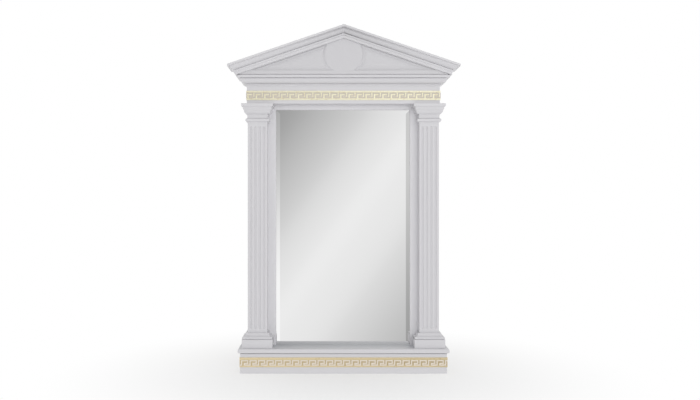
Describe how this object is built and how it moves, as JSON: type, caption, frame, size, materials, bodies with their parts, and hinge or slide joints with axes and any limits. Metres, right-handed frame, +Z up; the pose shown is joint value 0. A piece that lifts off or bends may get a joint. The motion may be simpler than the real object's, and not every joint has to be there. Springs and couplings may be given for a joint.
{
  "type": "wall mirror",
  "caption": "Framed wall mirror shaped as a small classical front: fluted pilasters, frieze with key pattern, pediment and plinth around a bevelled glass, with hanging loops behind.",
  "frame": {"origin": "on the floor, in the middle of the overall width and depth", "axes": "+X to the right as seen from the front, +Y into the wall, +Z up"},
  "size_m": [1.194, 0.2094, 1.8],
  "materials": {
    "satin_lacquer": "light grey-white satin lacquer on fibreboard and wood mouldings",
    "gilt_key_band": "pale gold leaf on a moulded strip",
    "silvered_mirror": "polished bevelled silvered glass",
    "hardboard": "brown hardboard",
    "bare_fibreboard": "bare fibreboard",
    "zinc_plated_hangers": "zinc plated, smooth",
    "zinc_plated_screws": "zinc plated, smooth",
    "felt_pads": "dense wool felt",
    "rubber_blocks": "matte"
  },
  "bodies": {
    "mirror_frame": {"back_panel": "hardboard", "back_panel_battens": "bare_fibreboard", "corner_glue_blocks": "bare_fibreboard", "cornice_front": "satin_lacquer", "cornice_left": "satin_lacquer", "cornice_right": "satin_lacquer", "crown_return_left": "satin_lacquer", "crown_return_right": "satin_lacquer", "dust_board": "bare_fibreboard", "frame_head_rail": "satin_lacquer", "frame_left_stile": "satin_lacquer", "frame_right_stile": "satin_lacquer", "frieze_front_board": "satin_lacquer", "frieze_key_band": "gilt_key_band", "frieze_key_fret": "satin_lacquer", "frieze_left_board": "satin_lacquer", "frieze_right_board": "satin_lacquer", "frieze_soffit": "satin_lacquer", "glass_setting_blocks": "rubber_blocks", "hanger_screws": "zinc_plated_screws", "hanger_strap_left": "zinc_plated_hangers", "hanger_strap_right": "zinc_plated_hangers", "ledge": "satin_lacquer", "mirror_glass": "silvered_mirror", "pediment_back": "bare_fibreboard", "pediment_left_side": "satin_lacquer", "pediment_right_side": "satin_lacquer", "pilaster_left_astragal": "satin_lacquer", "pilaster_left_base_block": "satin_lacquer", "pilaster_left_base_moulding": "satin_lacquer", "pilaster_left_capital": "satin_lacquer", "pilaster_left_fluted_front": "satin_lacquer", "pilaster_left_inner_side": "satin_lacquer", "pilaster_left_outer_side": "satin_lacquer", "pilaster_right_astragal": "satin_lacquer", "pilaster_right_base_block": "satin_lacquer", "pilaster_right_base_moulding": "satin_lacquer", "pilaster_right_capital": "satin_lacquer", "pilaster_right_fluted_front": "satin_lacquer", "pilaster_right_inner_side": "satin_lacquer", "pilaster_right_outer_side": "satin_lacquer", "plinth_back_board": "bare_fibreboard", "plinth_front_board": "satin_lacquer", "plinth_key_band": "gilt_key_band", "plinth_key_fret": "satin_lacquer", "plinth_left_board": "satin_lacquer", "plinth_right_board": "satin_lacquer", "raking_crown_left": "satin_lacquer", "raking_crown_right": "satin_lacquer", "roof_left_board": "satin_lacquer", "roof_right_board": "satin_lacquer", "sight_bead_left": "satin_lacquer", "sight_bead_right": "satin_lacquer", "sight_bead_top": "satin_lacquer", "tympanum_board": "satin_lacquer", "tympanum_left_panel": "satin_lacquer", "tympanum_right_panel": "satin_lacquer", "wall_felt_pads": "felt_pads"},
    "left_loop": {"hanging_loop_left": "zinc_plated_hangers"},
    "right_loop": {"hanging_loop_right": "zinc_plated_hangers"}
  },
  "joints": [
    {"name": "left_loop_swing", "type": "hinge", "parent": "mirror_frame", "child": "left_loop", "pos_m": [-0.444, 0.10128, 1.3], "axis": [1, 0, 0], "range_deg": [0, 180]},
    {"name": "right_loop_swing", "type": "hinge", "parent": "mirror_frame", "child": "right_loop", "pos_m": [0.444, 0.10128, 1.3], "axis": [1, 0, 0], "range_deg": [0, 180]}
  ]
}
